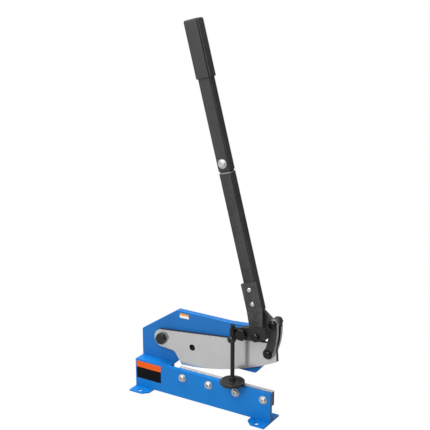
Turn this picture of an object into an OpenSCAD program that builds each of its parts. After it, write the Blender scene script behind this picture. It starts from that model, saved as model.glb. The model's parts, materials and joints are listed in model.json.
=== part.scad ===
/* [Base] */
// Length of the base, end to end
base_l = 368; // [330:1:420]
// Thickness of the front plate
front_plate_t = 10; // [8:0.5:14]
// Height of the front plate above its feet
front_plate_h = 70; // [60:1:90]
// Thickness of the flat feet
foot_t = 4; // [3:0.5:8]
// Width of each foot along the base
foot_w = 49; // [40:1:60]
// Reach of the feet in front of the front plate
foot_reach = 28; // [20:1:40]
// Cut-off corner of each foot
foot_chamfer = 14; // [5:1:20]
// Diameter of the bench bolt hole in each foot
foot_hole_d = 11; // [6:0.5:13]
// Distance of that hole from the front edge of the foot
foot_hole_inset = 10.5; // [9:0.5:16]
// Distance of that hole from the end of the base
foot_hole_end = 24; // [15:0.5:32]
// Gap between the spacer block and the lower blade
spacer_gap = 26; // [16:1:40]

/* [Rear plate] */
// Thickness of the rear plate
rear_plate_t = 14; // [10:0.5:18]
// Height of the rear plate's upright end
upright_h = 142; // [120:1:160]
// Height of the arm's top edge
arm_top_z = 209.5; // [205:0.5:215]
// Length of the slope between them
slope_run = 101; // [80:1:115]
// Height of the arm's lower edge
arm_low_z = 98; // [92:0.5:105]
// Width of the upright where it stands on its foot
upright_w = 74; // [60:1:90]
// Radius of the arm's round lobe at the lever pivot
lobe_r = 17; // [14:0.5:18]
// Chamfer of the arm's free end
nose_chamfer = 21; // [14:1:26]

/* [Blades] */
// Length of the lower blade
lower_blade_l = 250; // [230:1:265]
// Height of the lower blade
lower_blade_h = 34; // [30:1:44]
// Thickness of both blades
blade_t = 10; // [8:0.5:12]
// Height of the lower blade above the front plate
blade_proud = 1; // [0.5:0.1:2]
// Gap between the blades, and beside the links
blade_gap = 0.3; // [0.3:0.05:0.6]
// Radius of the moving blade's curved cutting edge
edge_r = 620; // [580:5:700]
// Diameter of the hole that cuts round bar
bar_hole_d = 15.5; // [10:0.5:17]
// Distance of the blade pivot from the left end
blade_pivot_inset = 64.5; // [55:0.5:75]
// Height of the blade pivot
blade_pivot_z = 134; // [130:0.5:138]
// Radius of the moving blade's round end
blade_end_r = 22; // [20:0.5:24]
// Diameter of the blade pivot bolt
blade_bolt_d = 16; // [12:1:20]
// Diameter of the four screws of the lower blade
blade_screw_d = 10; // [8:1:12]
// Distance between those screws
blade_screw_pitch = 72; // [64:1:74]

/* [Lever] */
// Distance of the lever pivot from the right end
lever_pivot_inset = 33; // [28:0.5:38]
// Height of the lever pivot
lever_pivot_z = 208; // [204:0.5:212]
// Diameter of the lever pivot bolt and of the link pins
pin_d = 12; // [10:0.5:14]
// Lean of the lever to the left at rest, in degrees
lean = 14.8; // [10:0.1:20]
// Width of the lever tube
tube_w = 30.5; // [27:0.5:34]
// Depth of the lever tube
tube_d = 22; // [18:0.5:26]
// Wall of the lever tube
tube_wall = 2; // [1.5:0.1:3]
// Corner radius of the lever tube
tube_corner = 2.5; // [2.3:0.1:4]
// Offset of the tube's centre line from the lever pivot
tube_offset = 8.8; // [6:0.2:14]
// Distance of the lower tube's foot from the pivot
tube_start = 57; // [50:1:60]
// Length of the lower tube
lower_tube_l = 313; // [280:1:360]
// Gap between the two tubes, where the joiner shows
tube_gap = 3.5; // [2:0.5:10]
// Length of the upper tube
upper_tube_l = 326; // [280:1:360]
// Length of the joiner inside the tubes
joiner_l = 150; // [110:1:180]
// Length of the hand grip
grip_l = 126; // [100:1:150]
// Wall of the hand grip
grip_wall = 3; // [2:0.1:4]
// Thickness of the front cheek plate
cheek_t = 4; // [3.5:0.5:7]
// Width of the front cheek plate
cheek_w = 40; // [36:1:44]
// Distance of the cheek's top edge from the pivot
cheek_top = 124; // [115:1:135]
// Diameter of the bolts through cheek and tube
cheek_bolt_d = 6; // [5:0.5:8]

/* [Links] */
// Distance of the upper link pin from the tube's side of the pivot
top_pin_out = 36.5; // [35:0.5:40]
// Distance of the upper link pin above the pivot, along the lever
top_pin_up = 20; // [18:0.5:23]
// Distance of the lower link pin from the right end
low_pin_inset = 14.5; // [12.5:0.5:16]
// Height of the lower link pin above the blade pivot
low_pin_rise = 29.5; // [27:0.5:32]
// Thickness of each link
link_t = 8.5; // [6:0.5:9]
// Width of each link
link_w = 20.5; // [18:0.5:23]
// Radius of the links' upper ends
link_top_r = 11; // [10.5:0.5:12]
// Radius of the links' lower ends
link_low_r = 12.5; // [12:0.5:14]
// Bow of the links away from the pivot
link_bow = 5; // [1:0.1:6]

/* [Hold-down] */
// Height of the hold-down bar
bar_h = 29; // [28:1:36]
// Part of that height above the lever pivot
bar_up = 22; // [19:0.5:24]
// Thickness of the hold-down bar
bar_t = 5; // [4:0.5:8]
// Tilt of the bar, in degrees
bar_tilt = 11.5; // [6:0.5:13]
// Distance of the rod from the lever pivot
rod_reach = 57; // [53:0.5:62]
// Diameter of the rod
rod_d = 9.5; // [8:0.5:10]
// Length of the rod above its disc
rod_l = 132; // [125:1:150]
// Thickness of the bar that carries the rod
holder_t = 6; // [4:0.5:8]
// Height of the eye that the rod slides in
eye_h = 30; // [24:1:36]
// Diameter of that eye
eye_d = 14; // [13.5:0.5:18]
// Diameter of the bolt between the two bars
holder_bolt_d = 16; // [12:1:16]
// Diameter of the pressure disc
disc_d = 59; // [45:1:64]
// Thickness of the pressure disc
disc_t = 8; // [5:0.5:9]
// Height of the disc above the lower blade
disc_lift = 8.5; // [6:0.5:14]

/* [Hidden] */

$fn = 64;
// Overrun of every cut
over = 1;
// Added to the diameter of a hole round a fixed bolt
bolt_clear = 0.3;
// Added to the diameter of a bore that turns on its pin
run_clear = 0.1;
// Points on each rounded corner
corner_steps = 7;
// Share of a round end's radius that straight sides start from
inside_share = 0.985;

// Levels from front to back, with the foot holes at zero
shear_y = foot_reach - foot_hole_inset + front_plate_t + blade_t;
lower_blade_y = shear_y - blade_t;
front_plate_y = lower_blade_y - front_plate_t;
moving_y = shear_y + blade_gap;
shim_t = 0.7;
rear_plate_y = moving_y + blade_t + shim_t;
rear_face_y = rear_plate_y + rear_plate_t;
foot_y = front_plate_y - foot_reach;
front_link_y = moving_y - blade_gap - link_t;
rear_link_y = moving_y + blade_t + blade_gap;
lever_plate_y = moving_y + blade_gap;
lever_plate_t = blade_t - 2 * blade_gap;
tube_y = lever_plate_y - tube_d;
cheek_y = tube_y - cheek_t;
bar_gap = 0.6;
bar_y = cheek_y - bar_gap - bar_t;

// Levels and stations of the base
left_x = -base_l / 2;
right_x = base_l / 2;
plate_top_z = foot_t + front_plate_h;
blade_top_z = plate_top_z + blade_proud;
lower_blade_x = right_x - lower_blade_l;
spacer_l = base_l - lower_blade_l - spacer_gap;
blade_screw_inset = (lower_blade_l - 3 * blade_screw_pitch) / 2;
blade_screw_z = blade_top_z - 0.55 * lower_blade_h;

// Pivots, in the plane of the plates
blade_pivot = [left_x + blade_pivot_inset, blade_pivot_z];
lever_pivot = [right_x - lever_pivot_inset, lever_pivot_z];
along_lever = [-sin(lean), cos(lean)];
across_lever = [cos(lean), sin(lean)];
top_pin = lever_pivot + top_pin_out * across_lever + top_pin_up * along_lever;
low_pin = [right_x - low_pin_inset, blade_pivot_z + low_pin_rise];

// Outline of the rear plate
nose_x = lever_pivot[0] - 4;
throat_x = left_x + spacer_l + 30;
throat_drop = 28;
throat_run = 30;
foot_drop = 37;
rise_start = [lever_pivot[0] - 90, arm_top_z];
rise_end = [lever_pivot[0] - 39, arm_top_z + 4];
rise_r = 40;
throat_r = 18;
nose_r = 9;
slope_r = 6;

// Outline of the moving blade
blade_top_slope = 6.1;
blade_tip = [right_x + 4, blade_top_z + 70.3];
blade_heel = [lower_blade_x + 1.4, blade_top_z + 3.4];
blade_end_lean = 4.5;
heel_slope = 57.8;
heel_r = 14;
bar_hole_share = 0.2935;
bar_hole = blade_pivot + [bar_hole_share * (low_pin[0] - blade_pivot[0]), -5.1];
under_fall = 3;
blade_corner_r = 2;

// Bolt heads, nuts and washers, as shares of the bolt's diameter
hex_share = 1.5;
hex_t_share = 0.65;
nut_t_share = 0.8;
washer_share = 1.9;
round_head_share = 1.7;
round_head_t_share = 0.5;
tail_share = 0.2;
thin_nut_t = 0.35 * pin_d;

// Screws of the lower blade
screw_washer_d = 2 * blade_screw_d;
screw_washer_t = 0.2 * blade_screw_d;
screw_head_d = 1.6 * blade_screw_d;
screw_head_t = 0.55 * blade_screw_d;
screw_socket_d = 0.6 * blade_screw_d;

// Blade pivot hardware
shim_d = 2.1 * blade_bolt_d;

// Lever hardware
lever_washer_d = 2 * pin_d;
lever_washer_t = 0.2 * pin_d;
lever_root_r = 17.5;
cheek_root_r = 15.5;
cheek_kink_r = 30;
pin_lug_r = 10;
sleeve_d = 20;
strip_right = 6;
strip_left = 13;
strip_top = 6;
strip_r = 4;
cheek_bolt_in = 0.8;
cheek_bolt_pitch = 32.5;
cheek_bolt_low = 75;
joint_bolt_d = 10;
joint_bolt_inset = 16.5;
joint_washer_d = 21;
joint_washer_t = 1.8;
joint_head_d = 1.6 * joint_bolt_d;
joint_head_t = 0.45 * joint_bolt_d;
joiner_clear = 0.3;
grip_cap_t = 2.5;

// Hold-down hardware
bar_right = 28;
bar_left = 45;
bar_corner_r = 19;
bar_end_r = 3;
holder_bolt_out = 33;
holder_right = 23;
holder_h = 22;
clamp_d = 6;
clamp_head_d = 16;
clamp_head_t = 5;
clamp_drop = 8.5;
rod_x = lever_pivot[0] - rod_reach;
rod_y = bar_y - 2;
eye_z = lever_pivot_z - 21;
clamp_z = eye_z + eye_h / 2 - clamp_drop;
on_bar = [cos(bar_tilt), sin(bar_tilt)];
off_bar = [-sin(bar_tilt), cos(bar_tilt)];
holder_bolt_at = lever_pivot - holder_bolt_out * on_bar + (bar_up - bar_h / 2) * off_bar;
disc_z = blade_top_z + disc_lift;
disc_hub_d = 14;
disc_hub_t = 4;
spigot_d = 5;

// Angle of the line from one point to another
function heading(p, q) = atan2(q[1] - p[1], q[0] - p[0]);

// Point at a distance and an angle from another
function polar(c, r, a) = c + r * [cos(a), sin(a)];

// Angle brought between -180 and 180 degrees
function wrapped(a) = a > 180 ? a - 360 : (a < -180 ? a + 360 : a);

// Points of one rounded corner, between the corners before and after it
function corner(p, v, q, r) =
  let (
    a = heading(v, p),
    b = heading(v, q),
    half = abs(wrapped(b - a)) / 2,
    mid = a + wrapped(b - a) / 2,
    reach = min(r / tan(half), 0.45 * min(norm(p - v), norm(q - v))),
    c = polar(v, reach / cos(half), mid),
    start = heading(c, polar(v, reach, a)),
    turn = wrapped(heading(c, polar(v, reach, b)) - start)
  )
  [for (i = [0 : corner_steps]) polar(c, reach * tan(half), start + turn * i / corner_steps)];

// Outline whose corners are given as [x, y, radius]
function outline(v) =
  let (n = len(v), at = [for (k = v) [k[0], k[1]]])
  [for (i = [0 : n - 1]) each
    v[i][2] > 0 ? corner(at[(i + n - 1) % n], at[i], at[(i + 1) % n], v[i][2]) : [at[i]]];

// Plate standing in the plane of the blades, cut from a flat outline
module plate(y, t) {
  translate([0, y + t, 0]) rotate([90, 0, 0]) linear_extrude(t) children();
}

// Round bar along the depth of the machine
module rod_y_axis(at, d, y, l) {
  translate([at[0], y, at[1]]) rotate([-90, 0, 0]) cylinder(d = d, h = l);
}

// Hole right through a plate
module hole(at, d, y, t) {
  rod_y_axis(at, d, y - over, t + 2 * over);
}

// Hexagonal prism along the depth of the machine
module hex(at, flats, y, l) {
  translate([at[0], y, at[1]]) rotate([-90, 0, 0]) cylinder(d = flats / cos(30), h = l, $fn = 6);
}

// Hexagonal prism with its corners turned off at the front, the back or both
module turned_hex(at, flats, y, l, front, back) {
  reach = 0.6 * flats;
  inner = 0.475 * flats;
  fall = (reach - inner) * tan(30);
  intersection() {
    hex(at, flats, y, l);
    translate([at[0], y, at[1]]) rotate([-90, 0, 0]) rotate_extrude() polygon([
      [0, 0], [front ? inner : reach, 0], [reach, front ? fall : 0.1 * l],
      [reach, back ? l - fall : 0.9 * l], [back ? inner : reach, l], [0, l]
    ]);
  }
}

// Flat washer
module washer(at, d, bore, y, t) {
  difference() {
    rod_y_axis(at, d, y, t);
    hole(at, bore + bolt_clear, y, t);
  }
}

// Hexagonal nut on a bolt of the given diameter
module nut(at, d, y) {
  difference() {
    turned_hex(at, hex_share * d, y, nut_t_share * d, true, true);
    hole(at, d + bolt_clear, y, nut_t_share * d);
  }
}

// Hexagon bolt whose head seats at y and whose shank is l long
module hex_bolt(at, d, y, l) {
  turned_hex(at, hex_share * d, y - hex_t_share * d, hex_t_share * d, true, false);
  rod_y_axis(at, d, y, l);
}

// Round-headed bolt whose head seats at y, with the head's edge turned off
module round_bolt(at, d, head_d, head_t, y, l) {
  translate([at[0], y, at[1]]) rotate([-90, 0, 0]) {
    cylinder(d = d, h = l);
    rotate_extrude() polygon([
      [0, 0], [head_d / 2, 0], [head_d / 2, -0.55 * head_t],
      [0.43 * head_d, -0.85 * head_t], [0.36 * head_d, -head_t], [0, -head_t]
    ]);
  }
}

// Lever's own frame: x across the lever, z along it from the pivot
module on_lever() {
  translate([lever_pivot[0], 0, lever_pivot[1]]) rotate([0, -lean, 0]) children();
}

// Section of the lever tube, or of what fits on or in it
module tube_section(w, d, r) {
  translate([tube_offset - w / 2, 0]) polygon(outline([
    [0, (tube_d - d) / 2, r], [w, (tube_d - d) / 2, r],
    [w, (tube_d + d) / 2, r], [0, (tube_d + d) / 2, r]
  ]));
}

// Length of square-cornered tube from one station to another
module tube_run(from, l, w, d, r, wall) {
  translate([0, tube_y, from]) linear_extrude(l) difference() {
    tube_section(w, d, r);
    tube_section(w - 2 * wall, d - 2 * wall, max(r - wall, 0.2 * r));
  }
}

// Frame
module front_plate() {
  color("royalblue") difference() {
    translate([left_x, front_plate_y, foot_t]) cube([base_l, front_plate_t, front_plate_h]);
    for (i = [0 : 3]) hole(screw_at(i), blade_screw_d + bolt_clear, front_plate_y, front_plate_t);
  }
}

// Places of the lower blade's screws
function screw_at(i) = [lower_blade_x + blade_screw_inset + i * blade_screw_pitch, blade_screw_z];

module rear_plate() {
  rise_a = heading(rise_end, lever_pivot) + asin(lobe_r / norm(lever_pivot - rise_end));
  color("royalblue") difference() {
    plate(rear_plate_y, rear_plate_t) {
      polygon(outline([
        [left_x + upright_w, foot_t, 0],
        [left_x + upright_w, arm_low_z - foot_drop, throat_r],
        [throat_x - throat_run, arm_low_z - throat_drop, throat_r],
        [throat_x, arm_low_z, throat_r],
        [nose_x - nose_chamfer * 0.85, arm_low_z, nose_r],
        [nose_x, arm_low_z + nose_chamfer * 1.1, nose_r],
        [nose_x, lever_pivot[1] - 0.6 * lobe_r, 0],
        concat(polar(lever_pivot, inside_share * lobe_r, rise_a + 90), 0),
        [rise_end[0], rise_end[1], rise_r],
        [rise_start[0], rise_start[1], rise_r],
        [left_x + slope_run, arm_top_z, slope_r],
        [left_x, upright_h, slope_r],
        [left_x, foot_t, 0]
      ]));
      translate(lever_pivot) circle(r = lobe_r);
    }
    hole(blade_pivot, blade_bolt_d + bolt_clear, rear_plate_y, rear_plate_t);
    hole(lever_pivot, pin_d + bolt_clear, rear_plate_y, rear_plate_t);
    hole(bar_hole, bar_hole_d, rear_plate_y, rear_plate_t);
  }
}

module spacer_block() {
  color("royalblue")
    translate([left_x, lower_blade_y, foot_t])
    cube([spacer_l, rear_plate_y - lower_blade_y, front_plate_h]);
}

// Foot under one end of the base, drawn at the left end
module foot() {
  difference() {
    linear_extrude(foot_t) polygon([
      [left_x, foot_y], [left_x + foot_w - foot_chamfer, foot_y],
      [left_x + foot_w, foot_y + foot_chamfer], [left_x + foot_w, rear_face_y],
      [left_x, rear_face_y]
    ]);
    translate([left_x + foot_hole_end, foot_y + foot_hole_inset, -over])
      cylinder(d = foot_hole_d, h = foot_t + 2 * over);
  }
}

module left_foot() {
  color("royalblue") foot();
}

module right_foot() {
  color("royalblue") mirror([1, 0, 0]) foot();
}

// Blades
module lower_blade() {
  color("lightsteelblue") difference() {
    translate([lower_blade_x, lower_blade_y, blade_top_z - lower_blade_h])
      cube([lower_blade_l, blade_t, lower_blade_h]);
    for (i = [0 : 3]) hole(screw_at(i), blade_screw_d + bolt_clear, lower_blade_y, blade_t);
  }
}

module lower_blade_screws() {
  color("gainsboro") for (i = [0 : 3]) {
    at = screw_at(i);
    seat_y = front_plate_y - screw_washer_t;
    difference() {
      round_bolt(at, blade_screw_d, screw_head_d, screw_head_t, seat_y,
        screw_washer_t + front_plate_t + 0.8 * blade_t);
      hex(at, screw_socket_d, seat_y - screw_head_t - over, 0.7 * screw_head_t + over);
    }
  }
}

module lower_blade_washers() {
  color("gainsboro") for (i = [0 : 3])
    washer(screw_at(i), screw_washer_d, blade_screw_d, front_plate_y - screw_washer_t, screw_washer_t);
}

module moving_blade() {
  top_left = polar(blade_pivot, inside_share * blade_end_r, 90 + blade_top_slope);
  tip_rise = (blade_tip[0] - top_left[0]) * tan(blade_top_slope) + top_left[1] - blade_tip[1];
  top_right = blade_tip + [-tip_rise * sin(blade_end_lean), tip_rise * (1 - sin(blade_end_lean)
    * tan(blade_top_slope))];
  chord = norm(blade_tip - blade_heel);
  edge_c = polar((blade_tip + blade_heel) / 2, sqrt(pow(edge_r, 2) - pow(chord / 2, 2)),
    heading(blade_heel, blade_tip) + 90);
  under_z = blade_pivot_z - inside_share * blade_end_r - under_fall;
  color("silver") difference() {
    plate(moving_y, blade_t) intersection() {
      union() {
        translate(blade_pivot) circle(r = blade_end_r);
        polygon(outline([
          [blade_pivot[0] - 0.6 * blade_end_r, blade_pivot[1], 0],
          [blade_pivot[0], under_z + under_fall, 0],
          [blade_heel[0] - (under_z - blade_heel[1]) / tan(heel_slope), under_z, heel_r],
          [blade_heel[0], blade_heel[1], 0],
          [blade_heel[0], blade_heel[1] - edge_r / 10, 0],
          [blade_tip[0], blade_heel[1] - edge_r / 10, 0],
          [blade_tip[0], blade_tip[1], 0],
          [top_right[0], top_right[1], blade_corner_r],
          [top_left[0], top_left[1], 0]
        ]));
      }
      translate(edge_c) circle(r = edge_r, $fn = 360);
    }
    hole(blade_pivot, blade_bolt_d + run_clear, moving_y, blade_t);
    hole(low_pin, pin_d + bolt_clear, moving_y, blade_t);
    hole(bar_hole, bar_hole_d, moving_y, blade_t);
  }
}

// Middle of the lower link pin, seated in the moving blade
module blade_link_pin() {
  color("dimgray") rod_y_axis(low_pin, pin_d, moving_y, blade_t);
}

// Blade pivot
module blade_pivot_bolt() {
  head_y = moving_y - blade_gap;
  nut_end = rear_face_y + nut_t_share * blade_bolt_d;
  color("dimgray") hex_bolt(blade_pivot, blade_bolt_d, head_y,
    nut_end + tail_share * blade_bolt_d - head_y);
}

// Thin ring that keeps the moving blade clear of the rear plate
module blade_shim() {
  color("dimgray") washer(blade_pivot, shim_d, blade_bolt_d, rear_plate_y - shim_t + blade_gap,
    shim_t - blade_gap);
}

module blade_pivot_nut() {
  color("dimgray") nut(blade_pivot, blade_bolt_d, rear_face_y);
}

// Lever pivot
module lever_pivot_bolt() {
  nut_end = rear_face_y + lever_washer_t + nut_t_share * pin_d;
  color("dimgray") round_bolt(lever_pivot, pin_d, round_head_share * pin_d,
    round_head_t_share * pin_d, bar_y, nut_end + tail_share * pin_d - bar_y);
}

module lever_pivot_washer() {
  color("dimgray") washer(lever_pivot, lever_washer_d, pin_d, rear_face_y, lever_washer_t);
}

module lever_pivot_nut() {
  color("dimgray") nut(lever_pivot, pin_d, rear_face_y + lever_washer_t);
}

// Thick lever plate in the plane of the moving blade, with the lug that works the links
module lever_plate() {
  lug = [top_pin_out, top_pin_up];
  color("dimgray") difference() {
    on_lever() plate(lever_plate_y, lever_plate_t) {
      circle(r = lever_root_r);
      translate(lug) circle(r = pin_lug_r);
      polygon(outline([
        concat(polar([0, 0], inside_share * lever_root_r, -60), 0),
        concat(polar(lug, inside_share * pin_lug_r, -50), 0),
        [lug[0], lug[1] + 0.3 * pin_lug_r, 0],
        [tube_offset + strip_right, tube_start - 6, strip_r],
        [tube_offset + strip_right, cheek_top - strip_top, strip_r],
        [tube_offset - strip_left, cheek_top - strip_top, strip_r],
        [tube_offset - strip_left, tube_start, strip_r],
        concat(polar([0, 0], inside_share * lever_root_r, 170), 0)
      ]));
    }
    hole(lever_pivot, sleeve_d + run_clear, lever_plate_y, lever_plate_t);
    hole(top_pin, pin_d + bolt_clear, lever_plate_y, lever_plate_t);
    on_lever() cheek_bolt_holes(lever_plate_y, lever_plate_t);
  }
}

// Holes for the two bolts that clamp cheek, tube and lever plate together
module cheek_bolt_holes(y, t) {
  for (i = [0, 1])
    hole([tube_offset - cheek_bolt_in, cheek_bolt_low + i * cheek_bolt_pitch], cheek_bolt_d + bolt_clear, y, t);
}

// Sleeve on the pivot bolt that the lever turns on, between hold-down bar and rear plate
module lever_sleeve() {
  color("silver") washer(lever_pivot, sleeve_d, pin_d, bar_y + bar_t, rear_plate_y - bar_y - bar_t);
}

module cheek_plate() {
  left = tube_offset - cheek_w / 2;
  right = tube_offset + cheek_w / 2;
  kink_z = tube_start + 0.1 * cheek_w;
  color("dimgray") difference() {
    on_lever() plate(cheek_y, cheek_t) {
      circle(r = cheek_root_r);
      polygon(outline([
        concat(polar([0, 0], inside_share * cheek_root_r, -10), 0),
        [right, kink_z, cheek_kink_r], [right, cheek_top - 0.1 * cheek_w, 0],
        [right - 0.1 * cheek_w, cheek_top, 0], [left + 0.18 * cheek_w, cheek_top, 0],
        [left, cheek_top - 0.06 * cheek_w, 0], [left, kink_z, cheek_kink_r],
        concat(polar([0, 0], inside_share * cheek_root_r, 175), 0)
      ]));
    }
    hole(lever_pivot, sleeve_d + run_clear, cheek_y, cheek_t);
    on_lever() cheek_bolt_holes(cheek_y, cheek_t);
  }
}

module cheek_bolts() {
  back = lever_plate_y + lever_plate_t + (nut_t_share + tail_share) * cheek_bolt_d;
  color("gainsboro") on_lever() for (i = [0, 1])
    round_bolt([tube_offset - cheek_bolt_in, cheek_bolt_low + i * cheek_bolt_pitch], cheek_bolt_d,
      round_head_share * cheek_bolt_d, round_head_t_share * cheek_bolt_d, cheek_y, back - cheek_y);
}

module cheek_nuts() {
  y = lever_plate_y + lever_plate_t;
  color("gainsboro") on_lever() for (i = [0, 1])
    nut([tube_offset - cheek_bolt_in, cheek_bolt_low + i * cheek_bolt_pitch], cheek_bolt_d, y);
}

// Lever tubes
module lower_tube() {
  color("dimgray") on_lever() difference() {
    tube_run(tube_start, lower_tube_l, tube_w, tube_d, tube_corner, tube_wall);
    cheek_bolt_holes(tube_y, tube_d);
  }
}

module upper_tube() {
  from = tube_start + lower_tube_l + tube_gap;
  color("dimgray") on_lever() difference() {
    tube_run(from, upper_tube_l, tube_w, tube_d, tube_corner, tube_wall);
    hole([tube_offset, from + joint_bolt_inset], joint_bolt_d + bolt_clear, tube_y, tube_d);
  }
}

// Bar that slides into both tubes
module tube_joiner() {
  w = tube_w - 2 * tube_wall - joiner_clear;
  d = tube_d - 2 * tube_wall - joiner_clear;
  seam = tube_start + lower_tube_l + tube_gap / 2;
  color("silver") on_lever() difference() {
    translate([0, tube_y, seam - joiner_l / 2]) linear_extrude(joiner_l)
      tube_section(w, d, tube_corner / 2);
    hole([tube_offset, seam + tube_gap / 2 + joint_bolt_inset], joint_bolt_d + bolt_clear,
      tube_y, tube_d);
  }
}

module joint_bolt() {
  at = [tube_offset, tube_start + lower_tube_l + tube_gap + joint_bolt_inset];
  seat_y = tube_y - joint_washer_t;
  color("gainsboro") on_lever() round_bolt(at, joint_bolt_d, joint_head_d, joint_head_t, seat_y,
    joint_washer_t + tube_d + (nut_t_share + tail_share) * joint_bolt_d);
}

module joint_washer() {
  at = [tube_offset, tube_start + lower_tube_l + tube_gap + joint_bolt_inset];
  color("gainsboro") on_lever()
    washer(at, joint_washer_d, joint_bolt_d, tube_y - joint_washer_t, joint_washer_t);
}

module joint_nut() {
  at = [tube_offset, tube_start + lower_tube_l + tube_gap + joint_bolt_inset];
  color("gainsboro") on_lever() nut(at, joint_bolt_d, tube_y + tube_d);
}

module hand_grip() {
  top = tube_start + lower_tube_l + tube_gap + upper_tube_l;
  w = tube_w + 2 * grip_wall;
  d = tube_d + 2 * grip_wall;
  r = tube_corner + grip_wall / 2;
  color("dimgray") on_lever() {
    tube_run(top - grip_l + grip_cap_t, grip_l - grip_cap_t, w, d, r, grip_wall);
    translate([0, tube_y, top]) linear_extrude(grip_cap_t) tube_section(w, d, r);
  }
}

// Link pins
module upper_link_pin() {
  back = rear_link_y + link_t + blade_gap + thin_nut_t + tail_share * thin_nut_t;
  y = front_link_y - blade_gap;
  color("dimgray") round_bolt(top_pin, pin_d, round_head_share * pin_d,
    round_head_t_share * pin_d, y, back - y);
}

module upper_link_nut() {
  y = rear_link_y + link_t + blade_gap;
  color("dimgray") difference() {
    turned_hex(top_pin, hex_share * pin_d, y, thin_nut_t, false, true);
    hole(top_pin, pin_d + bolt_clear, y, thin_nut_t);
  }
}

// Curved link between the two pins
module link(y) {
  chord = norm(top_pin - low_pin);
  r = pow(chord / 2, 2) / (2 * link_bow) + link_bow / 2;
  mid = (top_pin + low_pin) / 2;
  side = heading(low_pin, top_pin);
  c = polar(mid, r - link_bow, side + 90);
  difference() {
    plate(y, link_t) {
      translate(top_pin) circle(r = link_top_r);
      translate(low_pin) circle(r = link_low_r);
      intersection() {
        difference() {
          translate(c) circle(r = r + link_w / 2, $fn = 180);
          translate(c) circle(r = r - link_w / 2, $fn = 180);
        }
        polygon([c, polar(c, 1.2 * r, heading(c, low_pin)), polar(c, 1.2 * r, heading(c, top_pin))]);
      }
    }
    hole(top_pin, pin_d + run_clear, y, link_t);
    hole(low_pin, pin_d + bolt_clear, y, link_t);
  }
}

module front_link() {
  color("dimgray") link(front_link_y);
}

module rear_link() {
  color("dimgray") link(rear_link_y);
}

// Front end of the lower link pin: its head, and its stub in the front link
module lower_pin_head() {
  color("dimgray") round_bolt(low_pin, pin_d, round_head_share * pin_d,
    round_head_t_share * pin_d, front_link_y, link_t);
}

// Rear end of the lower link pin, with its nut
module lower_pin_nut() {
  color("dimgray") {
    rod_y_axis(low_pin, pin_d, rear_link_y, link_t + thin_nut_t + tail_share * thin_nut_t);
    turned_hex(low_pin, hex_share * pin_d, rear_link_y + link_t, thin_nut_t, false, true);
  }
}

// Hold-down
module hold_down_bar() {
  color("dimgray") difference() {
    translate([lever_pivot[0], 0, lever_pivot[1]]) rotate([0, -bar_tilt, 0]) plate(bar_y, bar_t)
      polygon(outline([
        [-bar_left, bar_up - bar_h, bar_end_r], [bar_right, bar_up - bar_h, bar_corner_r],
        [bar_right, bar_up, bar_end_r], [-bar_left, bar_up, bar_end_r]
      ]));
    hole(lever_pivot, pin_d + bolt_clear, bar_y, bar_t);
    hole(holder_bolt_at, holder_bolt_d + bolt_clear, bar_y, bar_t);
  }
}

// Short bar behind the first one, with the eye that the rod slides in
module rod_holder() {
  y = bar_y + bar_t;
  color("dimgray") difference() {
    union() {
      translate([holder_bolt_at[0], 0, holder_bolt_at[1]]) rotate([0, -bar_tilt, 0])
        plate(y, holder_t) polygon(outline([
          [-holder_right, -holder_h / 2, 0], [holder_h / 2, -holder_h / 2, bar_end_r],
          [holder_h / 2, holder_h / 2, bar_end_r], [-holder_right, holder_h / 2, 0]
        ]));
      translate([rod_x, rod_y, eye_z]) cylinder(d = eye_d, h = eye_h);
      translate([rod_x - eye_d / 4, rod_y, eye_z]) cube([eye_d / 2, y + holder_t - rod_y, eye_h]);
    }
    translate([rod_x, rod_y, eye_z - over]) cylinder(d = rod_d + run_clear, h = eye_h + 2 * over);
    rod_y_axis([rod_x, clamp_z], clamp_d + run_clear, rod_y - eye_d, eye_d);
    hole(holder_bolt_at, holder_bolt_d + bolt_clear, y, holder_t);
  }
}

module holder_bolt() {
  l = bar_t + holder_t + (nut_t_share + tail_share) * holder_bolt_d;
  color("dimgray") hex_bolt(holder_bolt_at, holder_bolt_d, bar_y, l);
}

module holder_nut() {
  color("dimgray") nut(holder_bolt_at, holder_bolt_d, bar_y + bar_t + holder_t);
}

// Screw in the front of the eye that clamps the rod
module clamp_screw() {
  at = [rod_x, clamp_z];
  y = rod_y - eye_d / 2 - blade_gap;
  color("dimgray") difference() {
    round_bolt(at, clamp_d, clamp_head_d, clamp_head_t, y, rod_y - rod_d / 2 - blade_gap - y);
    hex(at, clamp_d / 2, y - clamp_head_t - over, clamp_head_t / 2 + over);
  }
}

module hold_down_rod() {
  color("dimgray") {
    translate([rod_x, rod_y, disc_z + disc_t + disc_hub_t]) cylinder(d = rod_d, h = rod_l);
    translate([rod_x, rod_y, disc_z]) cylinder(d = spigot_d, h = disc_t + disc_hub_t);
  }
}

module pressure_disc() {
  color("dimgray") difference() {
    translate([rod_x, rod_y, disc_z]) union() {
      cylinder(d = disc_d, h = disc_t);
      cylinder(d = disc_hub_d, h = disc_t + disc_hub_t - blade_gap);
    }
    translate([rod_x, rod_y, disc_z - over])
      cylinder(d = spigot_d + run_clear, h = disc_t + disc_hub_t + 2 * over);
  }
}

front_plate();
rear_plate();
spacer_block();
left_foot();
right_foot();
lower_blade();
lower_blade_screws();
blade_pivot_bolt();
lower_blade_washers();
blade_shim();
blade_pivot_nut();
moving_blade();
blade_link_pin();
lever_pivot_bolt();
lever_pivot_washer();
lever_pivot_nut();
lever_plate();
lever_sleeve();
cheek_plate();
cheek_bolts();
cheek_nuts();
lower_tube();
tube_joiner();
joint_bolt();
joint_washer();
joint_nut();
upper_tube();
hand_grip();
upper_link_pin();
upper_link_nut();
front_link();
rear_link();
lower_pin_head();
lower_pin_nut();
hold_down_bar();
rod_holder();
holder_bolt();
holder_nut();
clamp_screw();
hold_down_rod();
pressure_disc();
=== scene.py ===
import json
import math

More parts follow.
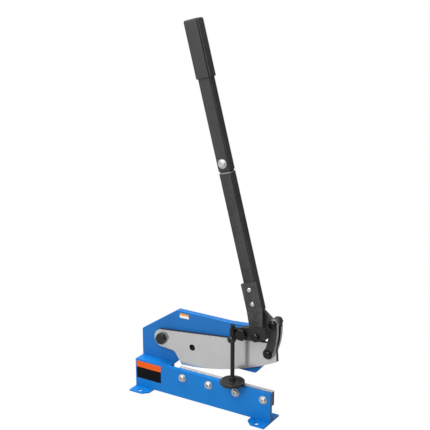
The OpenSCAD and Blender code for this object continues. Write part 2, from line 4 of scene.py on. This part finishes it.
import bmesh
import bpy
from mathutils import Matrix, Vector


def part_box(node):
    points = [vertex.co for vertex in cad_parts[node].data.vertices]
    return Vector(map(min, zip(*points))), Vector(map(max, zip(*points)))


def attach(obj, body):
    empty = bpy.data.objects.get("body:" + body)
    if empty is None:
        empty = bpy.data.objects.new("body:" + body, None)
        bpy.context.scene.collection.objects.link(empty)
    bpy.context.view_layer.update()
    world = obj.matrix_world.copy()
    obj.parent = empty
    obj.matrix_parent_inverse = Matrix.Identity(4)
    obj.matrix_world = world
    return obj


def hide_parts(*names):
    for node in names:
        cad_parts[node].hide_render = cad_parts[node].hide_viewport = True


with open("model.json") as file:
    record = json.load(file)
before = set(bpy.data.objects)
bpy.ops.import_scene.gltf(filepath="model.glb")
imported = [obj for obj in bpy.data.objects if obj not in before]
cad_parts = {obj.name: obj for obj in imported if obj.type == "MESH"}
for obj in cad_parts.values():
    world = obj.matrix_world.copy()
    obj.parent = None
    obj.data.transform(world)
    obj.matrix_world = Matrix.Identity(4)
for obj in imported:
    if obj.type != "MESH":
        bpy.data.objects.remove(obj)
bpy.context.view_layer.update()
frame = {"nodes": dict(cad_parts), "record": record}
NODES = frame["nodes"]
BODY_OF = {n: b for b, ns in frame["record"]["behaviour"]["bodies"].items() for n in ns}
SLOT_OF = {p["node"]: p["material_slot"] for p in frame["record"]["subparts"]}
MM = 0.001

# Places and angles as part.scad has them, in metres
SHEAR_Y = 37.5 * MM  # the plane where the blades meet
PIVOT_X, PIVOT_Z = 0.151, 0.208  # the lever's pivot
BORE_X, BORE_Z = -0.0347, 0.1289  # the rear plate's bore for round bar
LEAN = math.radians(14.8)  # the lever's, at rest
ALONG = Vector((-math.sin(LEAN), 0, math.cos(LEAN)))  # up the lever's tubes
ACROSS = Vector((math.cos(LEAN), 0, math.sin(LEAN)))  # from their left to their right side

# Camera, from the fit of the base's corners in the photograph
AZIMUTH = math.radians(31.3)
PITCH = math.radians(16.6)
DISTANCE = 2.2121
LENS = 83.72
TARGET = Vector((0.028, SHEAR_Y, 0.4624))

back = Vector((math.sin(AZIMUTH) * math.cos(PITCH),
               -math.cos(AZIMUTH) * math.cos(PITCH),
               math.sin(PITCH)))
cam_data = bpy.data.cameras.new("camera")
cam_data.lens = LENS
cam_data.sensor_width = 36.0
cam_data.clip_end = 20.0
cam = bpy.data.objects.new("camera", cam_data)
cam.location = TARGET + back * DISTANCE
cam.rotation_euler = back.to_track_quat("Z", "Y").to_euler()
bpy.context.scene.collection.objects.link(cam)
bpy.context.scene.camera = cam


# Shader helpers: each adds one node and returns its output
def new_material(name):
    mat = bpy.data.materials.new(name)
    mat.use_nodes = True
    nodes = mat.node_tree.nodes
    links = mat.node_tree.links
    return mat, nodes, links, nodes["Principled BSDF"]


def coordinates(nodes, links, scale=(1, 1, 1)):
    where = nodes.new("ShaderNodeTexCoord")
    mapping = nodes.new("ShaderNodeMapping")
    mapping.inputs["Scale"].default_value = scale
    links.new(where.outputs["Object"], mapping.inputs["Vector"])
    return mapping.outputs["Vector"]


def noise(nodes, links, vector, scale, detail, rough=0.55):
    tex = nodes.new("ShaderNodeTexNoise")
    tex.inputs["Scale"].default_value = scale
    tex.inputs["Detail"].default_value = detail
    tex.inputs["Roughness"].default_value = rough
    links.new(vector, tex.inputs["Vector"])
    return tex.outputs["Fac"]


def ramp(nodes, links, fac, stops):
    node = nodes.new("ShaderNodeValToRGB")
    while len(node.color_ramp.elements) < len(stops):
        node.color_ramp.elements.new(0.5)
    for element, (at, colour) in zip(node.color_ramp.elements, stops):
        element.position = at
        element.color = (*colour, 1)
    links.new(fac, node.inputs["Fac"])
    return node.outputs["Color"]


def spread(nodes, links, fac, low, high, fac_low=0.0):
    """The value from fac_low to 1, spread from low to high."""
    node = nodes.new("ShaderNodeMapRange")
    node.inputs["From Min"].default_value = fac_low
    node.inputs["To Min"].default_value = low
    node.inputs["To Max"].default_value = high
    links.new(fac, node.inputs["Value"])
    return node.outputs["Result"]


def bump(nodes, links, height, strength, distance, below=None):
    node = nodes.new("ShaderNodeBump")
    node.inputs["Strength"].default_value = strength
    node.inputs["Distance"].default_value = distance
    links.new(height, node.inputs["Height"])
    if below is not None:
        links.new(below, node.inputs["Normal"])
    return node.outputs["Normal"]


def shade(colour, k):
    return tuple(min(1.0, c * k) for c in colour)


def grey(level, blue):
    return level, level, blue


# What the finishes have in common
PAINT_CLOUDS = 14.0  # scale of a paint's slow change of tone
METAL_CLOUDS = 22.0
TONE_BAND = 0.2  # half the part of the noise that runs through a paint's colours
PAINT_SWAY = 0.06  # how far a paint's roughness goes up and down
PEEL_SIZE = 0.35  # scale of the orange peel against the grain's
PEEL_STRENGTH = 0.35
GRAIN_STRENGTH = 0.5


def paint(name, colour, rough, grain, depth, vary=0.08, specular=0.5, speck=0.0):
    """Sprayed, powder-coated or moulded skin: slow changes of tone, orange peel and fine grain.

    vary is the change of tone, speck the part of it that the fine grain has, depth the bump's.
    """
    mat, nodes, links, bsdf = new_material(name)
    at = coordinates(nodes, links)
    slow = noise(nodes, links, at, PAINT_CLOUDS, detail=3.0)
    fine = noise(nodes, links, at, grain, detail=6.0, rough=0.6)
    mixed = nodes.new("ShaderNodeMath")
    mixed.operation = "MULTIPLY_ADD"
    links.new(fine, mixed.inputs[0])
    mixed.inputs[1].default_value = speck
    links.new(slow, mixed.inputs[2])
    middle = 0.5 * speck + 0.5
    stops = ((max(0.0, middle - TONE_BAND), shade(colour, 1 - vary)),
             (min(1.0, middle + TONE_BAND), shade(colour, 1 + vary)))
    links.new(ramp(nodes, links, mixed.outputs["Value"], stops), bsdf.inputs["Base Color"])
    links.new(spread(nodes, links, fine, rough - PAINT_SWAY, rough + PAINT_SWAY),
              bsdf.inputs["Roughness"])
    peel = noise(nodes, links, at, grain * PEEL_SIZE, detail=2.0)
    below = bump(nodes, links, peel, PEEL_STRENGTH, depth)
    links.new(bump(nodes, links, fine, GRAIN_STRENGTH, depth, below), bsdf.inputs["Normal"])
    bsdf.inputs["Specular IOR Level"].default_value = specular
    return mat


def metal(name, colour, rough, grain, metallic, vary, stretch=(1, 1, 1), lines=0.00002, sway=0.09):
    """Bare or plated metal with tool marks, drawn out along one way where stretch says so.

    vary is the change of tone, sway the roughness's, lines the depth of the marks.
    """
    mat, nodes, links, bsdf = new_material(name)
    bsdf.inputs["Metallic"].default_value = metallic
    drawn = coordinates(nodes, links, stretch)
    marks = noise(nodes, links, drawn, grain, detail=5.0, rough=0.65)
    cloud = noise(nodes, links, coordinates(nodes, links), METAL_CLOUDS, detail=4.0)
    stops = ((0.3, shade(colour, 1 - vary)), (0.7, shade(colour, 1 + vary * 0.5)))
    links.new(ramp(nodes, links, cloud, stops), bsdf.inputs["Base Color"])
    links.new(spread(nodes, links, marks, rough - sway, rough + sway), bsdf.inputs["Roughness"])
    links.new(bump(nodes, links, marks, GRAIN_STRENGTH, lines), bsdf.inputs["Normal"])
    return mat


# Blue paint of the base; the rear plate's copy is a little deeper and greyer, which paints shade on
# that plate
BLUE = (0.004, 0.174, 0.535)
BLUE_REAR_SHADED = (0.012, 0.144, 0.44)
blue = paint("blue_paint", BLUE, rough=0.42, grain=420.0, depth=0.00012, vary=0.05, specular=0.22)
blue_rear_shaded = paint("blue_paint_rear_shaded", BLUE_REAR_SHADED, rough=0.44, grain=420.0, depth=0.00012,
                  vary=0.06, specular=0.22)
# A lighter copy of the blue for the eased edges: painted highlights along them
blue_edge_highlight = paint("blue_paint_edge_highlight", shade(BLUE, 1.2), rough=0.38, grain=420.0, depth=0.00008,
                  vary=0.1, specular=0.4)

# Charcoal powder of the lever and satin black of the links
charcoal = paint("charcoal_powder", grey(0.034, 0.0345), rough=0.62, grain=650.0, depth=0.00022,
                 vary=0.32, specular=0.25, speck=0.9)
# A darker copy of the charcoal for eased edges and the tubes' corners: painted shade
charcoal_edge_shade = paint("charcoal_powder_edge_shade", grey(0.010, 0.0105), rough=0.55, grain=900.0,
                      depth=0.0001, vary=0.2, specular=0.2)
# A pale copy of the charcoal for the corners' sides: painted highlight
charcoal_corner_highlight = paint("charcoal_powder_highlight", grey(0.17, 0.171), rough=0.45, grain=900.0,
                      depth=0.0001, vary=0.25, specular=0.4)
# A lighter copy of the charcoal for the lever plate: painted light on its lug, which sits in shade
# behind the cheek
charcoal_lit = paint("charcoal_powder_lit", grey(0.064, 0.0645), rough=0.62, grain=650.0, depth=0.00022,
                 vary=0.3, specular=0.25, speck=0.9)
cheek_powder = paint("cheek_powder", grey(0.046, 0.0465), rough=0.62, grain=480.0, depth=0.00025,
                     vary=0.55, specular=0.28, speck=0.9)
satin = paint("satin_black", grey(0.026, 0.0265), rough=0.55, grain=650.0, depth=0.0002,
              vary=0.3, specular=0.3, speck=0.9)
# A lighter copy of the satin black for eased edges: painted highlights
satin_edge_highlight = paint("satin_black_edge_highlight", grey(0.035, 0.036), rough=0.48, grain=1200.0,
                   depth=0.0001, vary=0.2)

# Black paint of the hold-down
black = paint("black_paint", grey(0.008, 0.0085), rough=0.38, grain=700.0, depth=0.0001,
              vary=0.15, specular=0.32)
# A lighter copy of the black for eased edges: painted highlights
black_edge_highlight = paint("black_paint_edge_highlight", grey(0.014, 0.015), rough=0.35, grain=700.0,
                   depth=0.00006, vary=0.2)
# A lighter black for the bar and the disc
bar_black = paint("black_paint_lighter", grey(0.015, 0.0155), rough=0.42, grain=700.0,
                  depth=0.0001, vary=0.25, specular=0.35)

# Blackened bolts, in two depths
oxide = metal("black_oxide", grey(0.031, 0.032), rough=0.36, grain=900.0, metallic=0.5, vary=0.25)
# A lighter copy of the oxide for eased edges: painted highlights
oxide_edge_highlight = metal("black_oxide_edge_highlight", grey(0.06, 0.062), rough=0.32, grain=900.0,
                   metallic=0.8, vary=0.25)
oxide_dark = metal("black_oxide_dark", grey(0.007, 0.0075), rough=0.25, grain=900.0,
                   metallic=0.4, vary=0.3)

# Ground and bare steel, and zinc
ground = metal("ground_steel", grey(0.60, 0.60), rough=0.17, grain=240.0, metallic=0.72,
               vary=0.04, stretch=(0.4, 1, 14), lines=0.000006, sway=0.03)
# A lighter copy of the ground steel for eased edges: painted highlights
ground_edge_highlight = metal("ground_steel_edge_highlight", (0.74, 0.75, 0.76), rough=0.25, grain=300.0,
                    metallic=1.0, vary=0.05, stretch=(1, 1, 6))
ground_top = metal("ground_steel_top", grey(0.60, 0.60), rough=0.38, grain=240.0, metallic=0.35,
                   vary=0.04, stretch=(0.4, 1, 4), lines=0.000006, sway=0.05)
# Dark steel, which is also the painted shade in the rear plate's bore
dark_steel_and_shade = metal("dark_steel_and_bore_shade", grey(0.030, 0.031), rough=0.50, grain=500.0, metallic=0.4,
                   vary=0.3)
bare = metal("bare_edge", grey(0.36, 0.355), rough=0.42, grain=700.0, metallic=0.8, vary=0.45)
zinc = metal("bright_zinc", grey(0.65, 0.64), rough=0.48, grain=800.0, metallic=1.0, vary=0.12)

# Grip and labels
rubber = paint("grip_rubber", grey(0.038, 0.0385), rough=0.72, grain=1800.0, depth=0.0003,
               vary=0.1, specular=0.35)
# A darker copy of the rubber for the grip's corners and eased edges: painted shade
rubber_corner_shade = paint("grip_rubber_corner_shade", grey(0.010, 0.0105), rough=0.70, grain=1800.0,
                    depth=0.0003, vary=0.1, specular=0.2)
orange = paint("label_orange", (0.78, 0.10, 0.004), rough=0.45, grain=900.0, depth=0.00002,
               vary=0.03, specular=0.2)
label_black = paint("label_black", grey(0.002, 0.0025), rough=0.5, grain=900.0, depth=0.00002,
                    vary=0.1, specular=0.1)
amber = paint("label_amber", (0.78, 0.30, 0.04), rough=0.35, grain=900.0, depth=0.00002,
              vary=0.03)
label_white = paint("label_white", grey(0.78, 0.76), rough=0.40, grain=900.0, depth=0.00002,
                    vary=0.03)

# Faces and eased edges, by the record's material slot; the edges' lighter copies are painted
# highlights, the darker charcoal and rubber ones painted shade
FINISH = {
    "blue_paint": (blue, blue_edge_highlight),
    "ground_steel": (ground, ground_edge_highlight),
    "bright_zinc": (zinc, zinc),
    "black_steel": (oxide, oxide_edge_highlight),
    "black_paint": (black, black_edge_highlight),
    "charcoal_paint": (charcoal, charcoal_edge_shade),
    "black_rubber": (rubber, rubber_corner_shade),
}
# Pieces whose tone differs from that of their slot; the lever plate's lit copy paints light, and on
# the eased edges a lighter second material paints highlights, a darker one shade
OWN = {
    "front_link": (satin, satin_edge_highlight), "rear_link": (satin, satin_edge_highlight),
    "lever_plate": (charcoal_lit, charcoal), "cheek_plate": (cheek_powder, charcoal_edge_shade),
    "hold_down_bar": (bar_black, black_edge_highlight), "holder_bolt": (oxide_dark, oxide),
    "lever_pivot_bolt": (oxide_dark, oxide), "upper_link_pin": (oxide_dark, oxide),
    "lower_pin_head": (oxide_dark, oxide),
}


# Mesh helpers
WELD = 1e-6
FLAT = math.radians(0.6)  # faces that meet at less are one face
EASED_ABOVE = math.radians(35)  # edges that turn more get a bevel
NORMAL_WEIGHT = 90  # how much the large faces rule the shading of a bevel
EDGE_LOOK = 1  # index of the material of eased edges


def read_mesh(mesh):
    bm = bmesh.new()
    bm.from_mesh(mesh)
    return bm


def write_mesh(bm, mesh):
    bm.to_mesh(mesh)
    bm.free()


def cut_at(bm, at, normal):
    """A cut through the whole mesh at a plane, which takes nothing away."""
    bmesh.ops.bisect_plane(bm, geom=bm.verts[:] + bm.edges[:] + bm.faces[:],
                           plane_co=at, plane_no=normal)


def add_look(mesh, mat):
    """Another material for the mesh, and its index there."""
    mesh.materials.append(mat)
    return len(mesh.materials) - 1


def middle_and_half(values):
    return (min(values) + max(values)) / 2, (max(values) - min(values)) / 2


def new_piece(name, bm, mats, body):
    """A piece that isn't made from a CAD node's mesh."""
    mesh = bpy.data.meshes.new(name)
    write_mesh(bm, mesh)
    for mat in mats:
        mesh.materials.append(mat)
    obj = bpy.data.objects.new(name, mesh)
    bpy.context.scene.collection.objects.link(obj)
    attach(obj, body)
    return obj


def eased(node, width, materials=None, segments=2):
    """The CAD node with its sharp edges eased by a real bevel, standing in its place."""
    mesh = NODES[node].data.copy()
    mesh.materials.clear()
    for mat in materials or FINISH[SLOT_OF[node]]:
        mesh.materials.append(mat)
    bm = read_mesh(mesh)
    bmesh.ops.remove_doubles(bm, verts=bm.verts, dist=WELD)
    bmesh.ops.dissolve_limit(bm, angle_limit=FLAT, verts=bm.verts, edges=bm.edges)
    for face in bm.faces:
        face.material_index = 0
        face.smooth = True
    write_mesh(bm, mesh)
    obj = bpy.data.objects.new(node + "_eased", mesh)
    bpy.context.scene.collection.objects.link(obj)
    bevel = obj.modifiers.new("bevel", "BEVEL")
    bevel.width = width
    bevel.segments = segments
    bevel.limit_method = "ANGLE"
    bevel.angle_limit = EASED_ABOVE
    bevel.material = EDGE_LOOK
    bevel.use_clamp_overlap = True
    normals = obj.modifiers.new("normals", "WEIGHTED_NORMAL")
    normals.weight = NORMAL_WEIGHT
    normals.keep_sharp = True
    graph = bpy.context.evaluated_depsgraph_get()
    made = bpy.data.meshes.new_from_object(obj.evaluated_get(graph))
    obj.modifiers.clear()
    obj.data = made
    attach(obj, BODY_OF[node])
    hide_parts(node)
    return obj


# Width of the eased edges in millimetres; a thin wall holds its own bevel back
EASED = {
    "front_plate": 0.7, "rear_plate": 0.8, "spacer_block": 0.6,
    "left_foot": 0.6, "right_foot": 0.6,
    "cheek_plate": 0.5, "lever_plate": 0.6, "front_link": 0.6, "rear_link": 0.6,
    "hold_down_bar": 0.7, "rod_holder": 0.5,
    "blade_pivot_bolt": 0.5, "blade_pivot_nut": 0.5, "holder_bolt": 0.5, "holder_nut": 0.5,
    "lever_pivot_nut": 0.4, "upper_link_nut": 0.4, "lower_pin_nut": 0.4,
    "hand_grip": 1.6, "lower_tube": 1.0, "upper_tube": 0.5,
}
dressed = {node: eased(node, width * MM, OWN.get(node)).data for node, width in EASED.items()}

# The rear plate: its own blue, which paints shade, and painted shade on the walls of its bore for
# round bar
BORE_REACH = 13 * MM
BORE_WALL = 0.95  # the most that a wall's normal turns to the front
rear = dressed["rear_plate"]
# Its darker, greyer blue is painted shade
rear.materials[0] = blue_rear_shaded
bore_shade_look = add_look(rear, dark_steel_and_shade)
for poly in rear.polygons:
    from_axis = math.hypot(poly.center.x - BORE_X, poly.center.z - BORE_Z)
    if from_axis < BORE_REACH and abs(poly.normal.y) < BORE_WALL:
        poly.material_index = bore_shade_look

# Its arm's underside stands up to 2 mm higher than the solid's, as the photograph shows it
ARM_LEFT = -0.10
ARM_LOW, ARM_MOST, ARM_HIGH = 0.070, 0.098, 0.122
ARM_LIFT = 2 * MM
for v in rear.vertices:
    if v.co.x > ARM_LEFT and ARM_LOW < v.co.z < ARM_HIGH:
        fades_over = ARM_MOST - ARM_LOW if v.co.z < ARM_MOST else ARM_HIGH - ARM_MOST
        v.co.z += ARM_LIFT * (1 - abs(v.co.z - ARM_MOST) / fades_over)

# The paint is rubbed off the end of the lower tube where the upper one is put on
RIM = 1.9 * MM
lower_tube = dressed["lower_tube"]
rim_look = add_look(lower_tube, bare)
rim_at = max(v.co.dot(ALONG) for v in lower_tube.vertices) - RIM
bm = read_mesh(lower_tube)
cut_at(bm, ALONG * rim_at, ALONG)
for face in bm.faces:
    if face.calc_center_median().dot(ALONG) > rim_at:
        face.material_index = rim_look
write_mesh(bm, lower_tube)

# The rounded corners of tubes and grip get painted shade, and a painted highlight where they turn
# to the side
CORNER_TURN = 0.2  # the least that a corner's normal turns to the front and to the side
CORNER_FRONT = 0.5  # from here on it is the dark part
for node in ("lower_tube", "upper_tube", "hand_grip"):
    corner_highlight_look = add_look(dressed[node], charcoal_corner_highlight)
    for poly in dressed[node].polygons:
        to_front, to_side = abs(poly.normal.y), abs(poly.normal.dot(ACROSS))
        is_corner = min(to_front, to_side) > CORNER_TURN > abs(poly.normal.dot(ALONG))
        if is_corner and poly.material_index <= EDGE_LOOK:
            poly.material_index = EDGE_LOOK if to_front > CORNER_FRONT else corner_highlight_look

# The grip is moulded with a rounded end: rings are cut into it and drawn in along a quarter circle
END_R = 4.5 * MM
END_STEP = 15
END_WALL = 0.87  # how far out the points of the cross-section are that are drawn in
grip = dressed["hand_grip"]
bm = read_mesh(grip)
end_from = max(v.co.dot(ALONG) for v in bm.verts) - END_R
side_mid, side_half = middle_and_half([v.co.dot(ACROSS) for v in bm.verts])
face_mid, face_half = middle_and_half([v.co.y for v in bm.verts])
for turn in range(0, 90, END_STEP):
    cut_at(bm, ALONG * (end_from + END_R * math.sin(math.radians(turn))), ALONG)
for v in bm.verts:
    rise = v.co.dot(ALONG) - end_from
    u = (v.co.dot(ACROSS) - side_mid) / side_half
    w = (v.co.y - face_mid) / face_half
    if rise > 0 and max(abs(u), abs(w)) > END_WALL:
        inset = END_R - math.sqrt(max(0.0, END_R ** 2 - rise ** 2))
        v.co -= ACROSS * (u * inset)
        v.co.y -= w * inset
for face in bm.faces:
    face.smooth = True
write_mesh(bm, grip)

# The cheek's foot is a little flatter under the pivot than the lug behind it
FOOT_FROM = 12 * MM  # from the pivot
FOOT_KEPT = 0.8
for v in dressed["cheek_plate"].vertices:
    down = PIVOT_Z - v.co.z
    if down > 0 and math.hypot(v.co.x - PIVOT_X, down) > FOOT_FROM:
        v.co.z = PIVOT_Z - FOOT_KEPT * down

# The links' narrow faces are bare below these heights, where they turn to the right or up
BARE_BELOW = {"front_link": 0.260, "rear_link": 0.226}
NARROW = 0.5  # a plate's narrow faces turn less than this to the front
UP_OR_RIGHT = 0.3
for node, height in BARE_BELOW.items():
    bare_look = add_look(dressed[node], bare)
    for poly in dressed[node].polygons:
        turned = max(poly.normal.x, poly.normal.z) > UP_OR_RIGHT
        if turned and abs(poly.normal.y) < NARROW and poly.center.z < height:
            poly.material_index = bare_look


# The pressure disc is turned, with a dished top and a hub: radius and height in millimetres
DISC_PROFILE = (
    (0, 0), (27.4, 0), (28.3, 0.9), (28.3, 6.8), (27.5, 7.6), (26.2, 7.9), (24.6, 7.3),
    (23.4, 6.2), (9.4, 5.8), (8.0, 6.4), (7.6, 7.4), (7.6, 16.6), (6.8, 17.4), (0, 17.4),
)
# These bands get the lighter edge paint: painted highlight
DISC_EDGES = (1, 3, 4, 5, 11)  # the bands that look like eased edges
TURNED_SIDES = 96
TURNED_SHARP = math.radians(32)  # edges that turn more stay sharp


def lathe(profile, edge_bands, x, y, z):
    """Turned form about an upright axis, from radii and heights in millimetres."""
    bm = bmesh.new()
    rings = []
    for radius, height in profile:
        count = TURNED_SIDES if radius else 1
        turns = [math.tau * i / TURNED_SIDES for i in range(count)]
        rings.append([bm.verts.new((x + radius * MM * math.cos(turn),
                                    y + radius * MM * math.sin(turn),
                                    z + height * MM)) for turn in turns])
    for band, (a, b) in enumerate(zip(rings, rings[1:])):
        for i in range(TURNED_SIDES):
            j = (i + 1) % TURNED_SIDES
            if len(a) == 1:
                corners = (a[0], b[j], b[i])
            elif len(b) == 1:
                corners = (a[i], a[j], b[0])
            else:
                corners = (a[i], a[j], b[j], b[i])
            face = bm.faces.new(corners)
            face.material_index = EDGE_LOOK if band in edge_bands else 0
            face.smooth = True
    bmesh.ops.recalc_face_normals(bm, faces=bm.faces)
    bm.normal_update()
    for edge in bm.edges:
        edge.smooth = edge.calc_face_angle(0) <= TURNED_SHARP
    return bm


disc_low, disc_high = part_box("pressure_disc")
disc_form = lathe(DISC_PROFILE, DISC_EDGES, (disc_low.x + disc_high.x) / 2,
                  (disc_low.y + disc_high.y) / 2, disc_low.z)
disc = new_piece("pressure_disc_turned", disc_form, (bar_black, black_edge_highlight),
                 BODY_OF["pressure_disc"])
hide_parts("pressure_disc")

# The blades are ground, darker on the moving one's narrow faces and the lower one's end, with
# lighter eased edges that paint highlights
BLADE_EASE = 0.35 * MM
BLADES = ("moving_blade", "lower_blade")
BLADE_END = 0.5  # the lower blade's right end turns more than this to the right
GROUND_LOOK, DARK_LOOK, TOP_LOOK = 0, 2, 3
for node in BLADES:
    blade = eased(node, BLADE_EASE, (ground, ground_edge_highlight, dark_steel_and_shade, ground_top), segments=1)
    for poly in blade.data.polygons:
        if poly.material_index == GROUND_LOOK and abs(poly.normal.y) < NARROW:
            is_dark = node == "moving_blade" or poly.normal.x > BLADE_END
            poly.material_index = DARK_LOOK if is_dark else TOP_LOOK

# The nodes that stay as they are get a material
for node, obj in NODES.items():
    if node in EASED or node in BLADES or node == "pressure_disc":
        continue
    obj.data.materials.clear()
    obj.data.materials.append(OWN.get(node, FINISH[SLOT_OF[node]])[0])


LABEL_T = 0.25 * MM
CORNER_STEPS = 6


def label(name, x, z, split, radius, y, mats):
    """Thin bare label on a face that looks to the front, with rounded corners and an upper band."""
    (x0, x1), (z0, z1) = x, z
    ring = []
    for cx, cz, start in ((x1 - radius, z1 - radius, 0), (x0 + radius, z1 - radius, 90),
                          (x0 + radius, z0 + radius, 180), (x1 - radius, z0 + radius, 270)):
        for i in range(CORNER_STEPS + 1):
            turn = math.radians(start + 90 * i / CORNER_STEPS)
            ring.append((cx + radius * math.cos(turn), cz + radius * math.sin(turn)))
    bm = bmesh.new()
    front = [bm.verts.new((px, y - LABEL_T, pz)) for px, pz in ring]
    rear = [bm.verts.new((px, y, pz)) for px, pz in ring]
    bm.faces.new(front)
    bm.faces.new(rear[::-1])
    n = len(ring)
    for i in range(n):
        bm.faces.new((front[i], rear[i], rear[(i + 1) % n], front[(i + 1) % n]))
    cut_at(bm, (0, 0, split), (0, 0, 1))
    for face in bm.faces:
        face.material_index = 1 if face.calc_center_median().z > split else 0
    bmesh.ops.recalc_face_normals(bm, faces=bm.faces)
    return new_piece(name, bm, mats, "frame")


label("front_label", x=(-0.1808, -0.1108), z=(0.026, 0.070), split=0.0545, radius=1.0 * MM,
      y=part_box("front_plate")[0].y, mats=(label_black, orange))
label("rear_label", x=(-0.075, -0.0505), z=(0.1925, 0.2035), split=0.1985, radius=0.8 * MM,
      y=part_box("rear_plate")[0].y, mats=(label_white, amber))


def white_to_camera(nodes, links, shader, kind, surface):
    """The camera sees plain white there, and the object is lit by the given shader."""
    white = nodes.new(kind)
    white.inputs["Color"].default_value = (1, 1, 1, 1)
    white.inputs["Strength"].default_value = 1.0
    ray = nodes.new("ShaderNodeLightPath")
    choice = nodes.new("ShaderNodeMixShader")
    links.new(ray.outputs["Is Camera Ray"], choice.inputs["Fac"])
    links.new(shader, choice.inputs[1])
    links.new(white.outputs[0], choice.inputs[2])
    links.new(choice.outputs["Shader"], surface)


# Floor
FLOOR_SIZE = 60
bpy.ops.mesh.primitive_plane_add(size=FLOOR_SIZE, location=(0, 0, 0))
floor = bpy.context.object
floor.name = "floor"
floor_mat, nodes, links, bsdf = new_material("floor")
bsdf.inputs["Base Color"].default_value = (0.22, 0.22, 0.22, 1)
bsdf.inputs["Emission Color"].default_value = (1, 1, 1, 1)
bsdf.inputs["Emission Strength"].default_value = 0.35
bsdf.inputs["Roughness"].default_value = 0.9
bsdf.inputs["Specular IOR Level"].default_value = 0.1
white_to_camera(nodes, links, bsdf.outputs["BSDF"], "ShaderNodeEmission",
                nodes["Material Output"].inputs["Surface"])
floor.data.materials.append(floor_mat)

# World: light from the left and behind, dark towards the right and front
DARK_SIDE = (0.87, -0.50, 0.0)
WORLD_TONES = ((0.0, grey(0.95, 0.95)), (0.40, grey(0.60, 0.60)),
               (0.66, grey(0.10, 0.10)), (1.0, grey(0.04, 0.04)))
WORLD_STRENGTH = 0.70
bpy.context.scene.view_settings.view_transform = "Standard"
world = bpy.data.worlds.new("studio")
world.use_nodes = True
nodes, links = world.node_tree.nodes, world.node_tree.links
direction = nodes.new("ShaderNodeTexCoord")
toward = nodes.new("ShaderNodeVectorMath")
toward.operation = "DOT_PRODUCT"
toward.inputs[1].default_value = DARK_SIDE
links.new(direction.outputs["Generated"], toward.inputs[0])
across = spread(nodes, links, toward.outputs["Value"], 0.0, 1.0, fac_low=-1.0)
shine = nodes["Background"]
links.new(ramp(nodes, links, across, WORLD_TONES), shine.inputs["Color"])
shine.inputs["Strength"].default_value = WORLD_STRENGTH
white_to_camera(nodes, links, shine.outputs["Background"], "ShaderNodeBackground",
                nodes["World Output"].inputs["Surface"])
bpy.context.scene.world = world


# Lights
def area_light(name, location, aim, size, power):
    data = bpy.data.lights.new(name, "AREA")
    data.shape = "RECTANGLE"
    data.size, data.size_y = size
    data.energy = power
    lamp = bpy.data.objects.new(name, data)
    lamp.location = location
    lamp.rotation_euler = (Vector(location) - Vector(aim)).to_track_quat("Z", "Y").to_euler()
    bpy.context.scene.collection.objects.link(lamp)


area_light("key", location=(0.22, -2.34, 1.98), aim=(0, 0, 0.3), size=(1.9, 1.9), power=79)
area_light("top", location=(-0.6, 0.0, 2.5), aim=(0, 0, 0.2), size=(1.6, 1.4), power=60)
